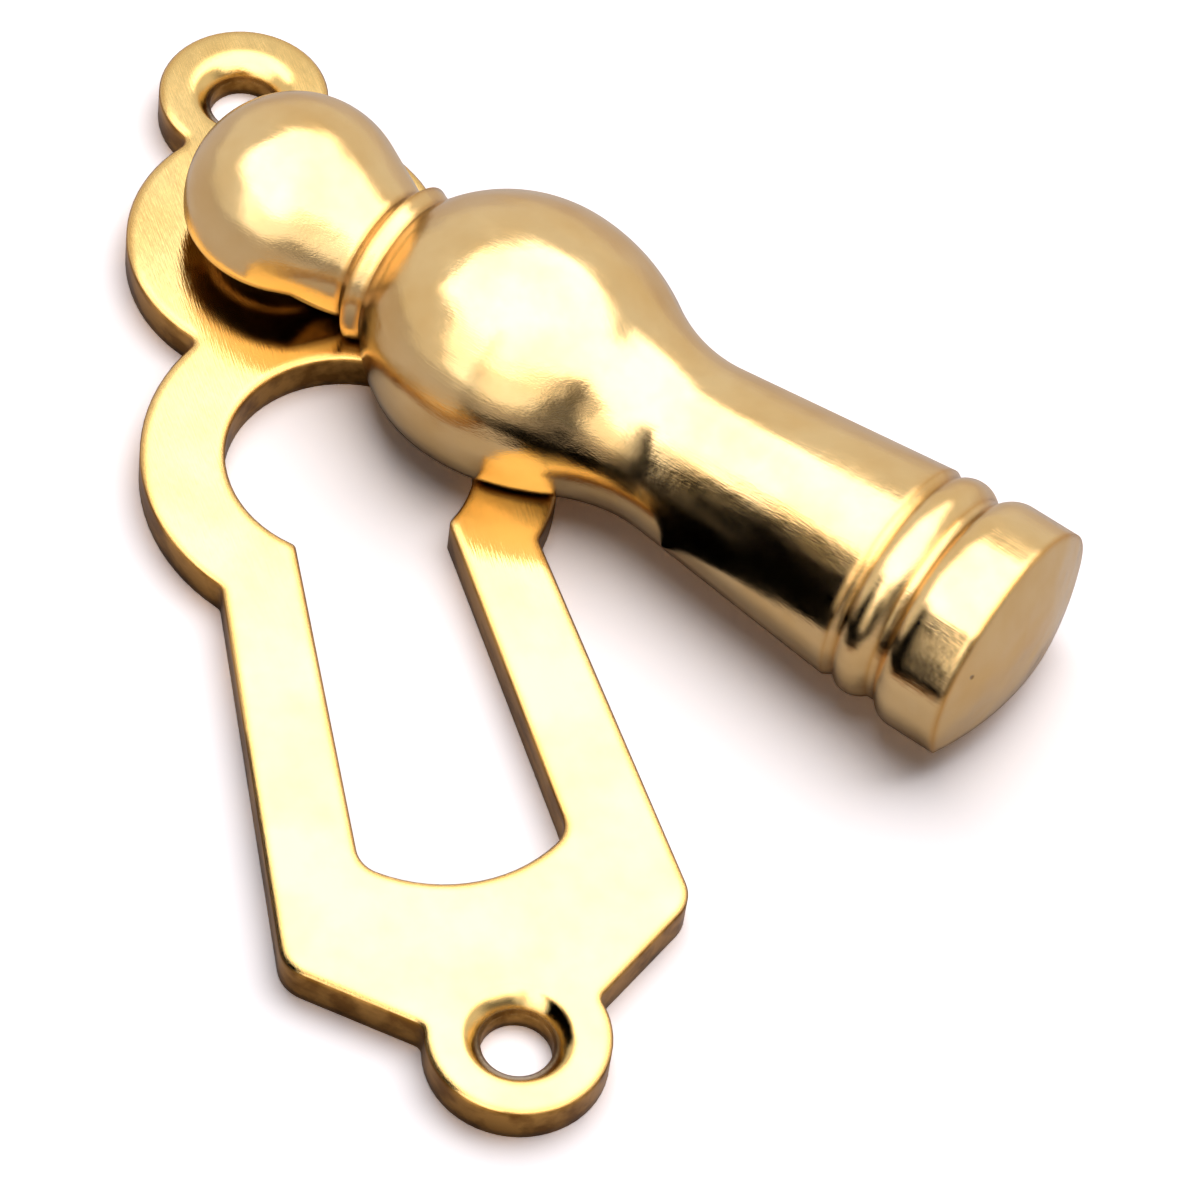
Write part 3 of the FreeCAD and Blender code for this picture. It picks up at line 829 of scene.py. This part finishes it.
    def _relief_cutter(self) -> bpy.types.Object:
        """Makes the wedge that is cut away behind the ball, and that runs out at the collar.

        Returns:
            The wedge, wider than the cover.
        """
        start = -self.ball_radius - self.trim_allowance
        below = -self.trim_allowance
        corners = ((start, below), (self.collar[0], below), (self.collar[0], 0.0),
                   (self.relief_turn, self.ball_rim_height), (start, self.ball_rim_height))
        mesh = bmesh.new()
        side = mesh.faces.new([mesh.verts.new((x, -self.cutter_half_width, z))
                               for x, z in corners])
        swept = bmesh.ops.extrude_face_region(mesh, geom=[side])
        moved = [item for item in swept["geom"] if isinstance(item, bmesh.types.BMVert)]
        bmesh.ops.translate(mesh, verts=moved, vec=(0, 2 * self.cutter_half_width, 0))
        bmesh.ops.recalc_face_normals(mesh, faces=mesh.faces)
        return add_object("relief", mesh)

    def _boss(self) -> bpy.types.Object:
        """Makes the round boss that the pivot rivet is fixed in.

        Returns:
            An upright disc from the boss's foot to the height of the cover's axis.
        """
        middle = (self.axis_height - self.boss_height) / 2
        mesh = bmesh.new()
        bmesh.ops.create_cone(mesh, cap_ends=True, segments=self.turn_steps,
                              radius1=self.boss_radius, radius2=self.boss_radius,
                              depth=self.axis_height + self.boss_height,
                              matrix=Matrix.Translation((0, 0, middle)))
        return add_object("boss", mesh)

    def _shade(self, cover: bpy.types.Object) -> None:
        """Shades the turned surfaces smooth and keeps the ground edges crisp.

        Args:
            cover: the cover, in millimetres.
        """
        crisp_angle = math.radians(self.crisp_angle)
        mesh = bmesh.new()
        mesh.from_mesh(cover.data)
        bmesh.ops.dissolve_degenerate(mesh, dist=self.merge_distance, edges=mesh.edges)
        for face in mesh.faces:
            face.smooth = True
        for edge in mesh.edges:
            edge.smooth = edge.calc_face_angle(0.0) < crisp_angle
        mesh.to_mesh(cover.data)
        mesh.free()

    def _place(self, cover: bpy.types.Object) -> None:
        """Turns the cover about its pivot to where it hangs, and makes it metres.

        Args:
            cover: the cover, in millimetres, along X.
        """
        place = (Matrix.Translation(self.pivot + Vector((0, 0, self.back_z * MM)))
                 @ Matrix.Rotation(math.radians(self.swing_angle - 90.0), 4, "Z")
                 @ Matrix.Scale(MM, 4))
        cover.data.transform(place)


@dataclass
class PivotRivet:
    """The rivet that the cover swings on, which stays the CAD's own piece."""

    node: bpy.types.Object

    def build(self, finish: bpy.types.Material) -> bpy.types.Object:
        """Gives the rivet its finish.

        Args:
            finish: the rivet's material.

        Returns:
            The rivet's object.
        """
        dress(self.node, finish)
        log.info("%s: %d faces", self.node.name, len(self.node.data.polygons))
        return self.node


@dataclass(frozen=True)
class Surround:
    """What the brass mirrors: a room, a wide bright ceiling and a window low on the left.

    The room is pale, and dark on the near side, between the two limits of near_turn on the Y of
    the direction. The ceiling's edges are slopes, the run along X or Y for each unit of height.
    The window is given by a bearing from +Y towards +X and an elevation, in degrees. Seen by way
    of more than one mirroring, the surround is darker, by second_share for the second.
    """

    room: float = 0.74
    near_room: float = 0.16
    near_turn: Pair = (-0.75, -0.15)
    ceiling_strength: float = 3.1
    ceiling_left: float = -1.3
    ceiling_right: float = 0.95
    ceiling_near: float = -1.2
    ceiling_far: float = 0.80
    ceiling_edge: float = 0.2
    ceiling_far_edge: float = 0.08
    ceiling_foot: Pair = (0.05, 0.10)
    window_strength: float = 2.0
    window_bearing: float = 226.0
    window_elevation: float = 36.0
    window_reach: float = 27.0
    window_edge: float = 12.0
    level: float = 0.07
    first_depth: float = 2.0
    second_share: float = 0.45

    def build(self) -> None:
        """Makes the world, which shows the surround to glossy rays and is level to others."""
        world = bpy.data.worlds.new("surround")
        world.use_nodes = True
        world.node_tree.nodes.clear()
        desk = Desk(world.node_tree)
        direction = desk.put("ShaderNodeTexCoord").outputs["Generated"]
        parts = desk.put("ShaderNodeSeparateXYZ", {"Vector": direction}).outputs
        room = desk.ramp(parts["Y"], *self.near_turn, self.near_room, self.room, smooth=True)
        seen = desk.sum("MULTIPLY_ADD", self._window(desk, direction),
                        self.window_strength - self.room, room)
        seen = desk.sum("MULTIPLY_ADD", self._ceiling(desk, parts),
                        desk.sum("SUBTRACT", self.ceiling_strength, seen), seen)
        light = desk.put("ShaderNodeLightPath").outputs
        again = desk.sum("MAXIMUM", desk.sum("SUBTRACT", light["Ray Depth"], self.first_depth),
                         0.0)
        seen = desk.product(seen, desk.sum("POWER", self.second_share,
                                           desk.product(again, again)))
        strength = desk.sum("MULTIPLY_ADD", light["Is Glossy Ray"],
                            desk.sum("SUBTRACT", seen, self.level), self.level)
        strength = desk.sum("MAXIMUM", strength, light["Is Camera Ray"])
        background = desk.put("ShaderNodeBackground", {"Color": (1.0, 1.0, 1.0, 1.0),
                                                       "Strength": strength})
        desk.put("ShaderNodeOutputWorld", {"Surface": background.outputs["Background"]})
        bpy.context.scene.world = world

    def _ceiling(self, desk: Desk,
                 parts: bpy.types.bpy_prop_collection) -> bpy.types.NodeSocket:
        """Lays out the ceiling.

        Args:
            desk: the desk of the world.
            parts: the sockets with the X, Y and Z of the direction.

        Returns:
            The socket with a mask that is 1 on the ceiling.
        """
        height = desk.sum("MAXIMUM", parts["Z"], self.ceiling_foot[0])
        across = desk.sum("DIVIDE", parts["X"], height)
        along = desk.sum("DIVIDE", parts["Y"], height)
        edge = self.ceiling_edge
        ceiling = desk.ramp(parts["Z"], *self.ceiling_foot)
        for value, limit, fade in ((across, self.ceiling_right, edge),
                                   (across, self.ceiling_left, -edge),
                                   (along, self.ceiling_far, self.ceiling_far_edge),
                                   (along, self.ceiling_near, -edge)):
            inside = desk.ramp(value, limit + fade, limit - fade, smooth=True)
            ceiling = desk.product(ceiling, inside)
        return ceiling

    def _window(self, desk: Desk, direction: bpy.types.NodeSocket) -> bpy.types.NodeSocket:
        """Lays out the window, a round patch of light with a soft edge.

        Args:
            desk: the desk of the world.
            direction: the socket with the direction that is looked in.

        Returns:
            The socket with a mask that is 1 in the window.
        """
        bearing = math.radians(self.window_bearing)
        elevation = math.radians(self.window_elevation)
        middle = (math.sin(bearing) * math.cos(elevation),
                  math.cos(bearing) * math.cos(elevation), math.sin(elevation))
        outer = math.cos(math.radians(self.window_reach + self.window_edge))
        inner = math.cos(math.radians(self.window_reach))
        return desk.ramp(desk.match(direction, middle), outer, inner, smooth=True)


def show_in_mirror(card: bpy.types.Object) -> None:
    """Hides a card from all but glossy rays, so that it casts no shadow.

    Args:
        card: a card or a row of slats.
    """
    card.visible_camera = False
    card.visible_diffuse = False
    card.visible_transmission = False
    card.visible_shadow = False


@dataclass(frozen=True)
class Shade:
    """A row of upright black slats that only the brass mirrors, and only from their front: a
    painted reflection, which puts a dark band in the brass.

    The row runs from start to end, as X and Y, and each slat faces a bearing from +Y towards +X.
    """

    name: str
    start: Pair
    end: Pair
    facing: float
    count: int = 41
    slat: float = 1.6
    height: float = 40.0

    def build(self, black: bpy.types.Material) -> None:
        """Makes the row.

        Args:
            black: the slats' material.
        """
        mesh = bmesh.new()
        turn = Matrix.Rotation(math.radians(90.0 - self.facing), 4, "Z")
        upright = Matrix.Rotation(math.radians(90.0), 4, "Y") @ Matrix.Rotation(
            math.radians(90.0), 4, "Z")
        size = Matrix.Diagonal((self.slat * MM, self.height * MM, 1.0, 1.0))
        for i in range(self.count):
            share = i / (self.count - 1)
            x, y = (a + (b - a) * share for a, b in zip(self.start, self.end))
            place = Matrix.Translation((x * MM, y * MM, self.height * MM / 2))
            add_card(mesh, place @ turn @ upright @ size)
        row = add_object(self.name, mesh)
        dress(row, black)
        show_in_mirror(row)


@dataclass(frozen=True)
class Studio:
    """The floor, the lamp, the surround and the camera.

    The card's edges are the left, right, near and far one. The soft box's slopes are the same
    edges as the run along X or Y for each unit of its height, and its power is in watts.
    """

    camera_place: tuple[float, float, float] = (-50.07, -155.79, 212.86)
    camera_aim: tuple[float, float, float] = (9.854, -4.158, 0.0)
    camera_roll: float = 8.829
    lens: float = 175.0
    sensor_width: float = 36.0
    clip_range: Pair = (10.0, 10000.0)
    floor_width: float = 2400.0
    floor_colour: Colour = (0.74, 0.70, 0.715)
    floor_lift: float = 2.25
    box_height: float = 600.0
    box_slopes: tuple[float, float, float, float] = (-0.25, 1.1, -0.25, 1.1)
    box_power: float = 5.0
    # The low card is painted shade, which only the cover's reflection shows.
    card_edges: tuple[float, float, float, float] = (-9.0, 12.8, -31.0, -3.5)
    card_height: float = 2.6
    shades: tuple[Shade, ...] = (
        Shade("left_shade", (-12.5, -7.0), (-12.5, -32.0), facing=139.0),
        Shade("near_shade", (-6.0, -42.0), (26.0, -42.0), facing=96.0, count=61),
    )

    def build(self) -> None:
        """Sets up the whole studio."""
        self._build_camera()
        self._build_floor()
        Surround().build()
        black = self._build_black()
        for shade in self.shades:
            shade.build(black)
        self._build_low_card(black)
        self._build_soft_box()
        bpy.context.scene.view_settings.view_transform = "Standard"

    def _build_camera(self) -> None:
        """Sets up a long lens that looks down on the plate from its lower left."""
        place = Vector(self.camera_place) * MM
        aim = Vector(self.camera_aim) * MM
        data = bpy.data.cameras.new("camera")
        data.lens = self.lens
        data.sensor_width = self.sensor_width
        data.clip_start, data.clip_end = (distance * MM for distance in self.clip_range)
        camera = bpy.data.objects.new("camera", data)
        bpy.context.scene.collection.objects.link(camera)
        turn = (aim - place).to_track_quat("-Z", "Y").to_matrix().to_4x4()
        roll = Matrix.Rotation(math.radians(self.camera_roll), 4, "Z")
        camera.matrix_world = Matrix.Translation(place) @ turn @ roll
        bpy.context.scene.camera = camera

    def _build_floor(self) -> None:
        """Lays a plain pale floor that shows white to the camera and keeps the shadow."""
        mesh = bmesh.new()
        add_card(mesh, Matrix.Scale(self.floor_width * MM, 4))
        floor = add_object("floor", mesh)
        material, desk = new_material("floor_paper")
        light = desk.put("ShaderNodeLightPath").outputs
        shown = tuple(channel * self.floor_lift for channel in self.floor_colour)
        colour = desk.blend(light["Is Camera Ray"], opaque(self.floor_colour), opaque(shown))
        paper = desk.put("ShaderNodeBsdfDiffuse", {"Color": colour})
        desk.put("ShaderNodeOutputMaterial", {"Surface": paper.outputs["BSDF"]})
        dress(floor, material)

    def _build_black(self) -> bpy.types.Material:
        """Makes a black that only reflections meet, and only on its front.

        Returns:
            The material of the slats and the card.
        """
        material, desk = new_material("black_card")
        light = desk.put("ShaderNodeLightPath").outputs
        back = desk.put("ShaderNodeNewGeometry").outputs["Backfacing"]
        front = desk.sum("SUBTRACT", 1.0, back)
        clear = desk.put("ShaderNodeBsdfTransparent")
        black = desk.put("ShaderNodeEmission", {"Color": (0.0, 0.0, 0.0, 1.0)})
        mix = desk.put("ShaderNodeMixShader", {
            0: desk.product(front, light["Is Glossy Ray"]),
            1: clear.outputs["BSDF"], 2: black.outputs["Emission"]})
        desk.put("ShaderNodeOutputMaterial", {"Surface": mix.outputs["Shader"]})
        return material

    def _build_low_card(self, black: bpy.types.Material) -> None:
        """Lays a black card over the lower plate that only the cover mirrors: painted shade,
        which darkens the cover's reflection of the shaded floor and plate.

        Args:
            black: the card's material.
        """
        left, right, near, far = self.card_edges
        place = Matrix.Translation(Vector(((left + right) / 2, (near + far) / 2,
                                           self.card_height)) * MM)
        size = Matrix.Diagonal(((right - left) * MM, (far - near) * MM, 1.0, 1.0))
        mesh = bmesh.new()
        add_card(mesh, place @ size)
        card = add_object("low_card", mesh)
        dress(card, black)
        show_in_mirror(card)

    def _build_soft_box(self) -> None:
        """Hangs a wide soft box overhead, which lights the floor and isn't mirrored."""
        left, right, near, far = (slope * self.box_height for slope in self.box_slopes)
        data = bpy.data.lights.new("soft_box", "AREA")
        data.shape = "RECTANGLE"
        data.size = (right - left) * MM
        data.size_y = (far - near) * MM
        data.energy = self.box_power
        lamp = bpy.data.objects.new("soft_box", data)
        bpy.context.scene.collection.objects.link(lamp)
        lamp.location = Vector(((left + right) / 2, (near + far) / 2, self.box_height)) * MM
        lamp.visible_camera = False
        lamp.visible_glossy = False


def main() -> None:
    """Builds the escutcheon and its studio."""
    logging.basicConfig(level=logging.INFO, format="%(name)s: %(message)s")
    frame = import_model()
    nodes = frame["nodes"]
    pivot = Vector(frame["joints"][0]["pos_m"])
    wear = PolishWear().build()
    soft_edge = SoftEdge().build()
    Backplate(nodes["backplate"]).build(PLATE_BRASS.build(wear, soft_edge))
    SwingCover(nodes["swing_cover"], pivot).build(COVER_BRASS.build(wear, soft_edge))
    PivotRivet(nodes["pivot_rivet"]).build(RIVET_BRASS.build(wear, soft_edge))
    Studio().build()


if __name__ == "__main__":
    main()
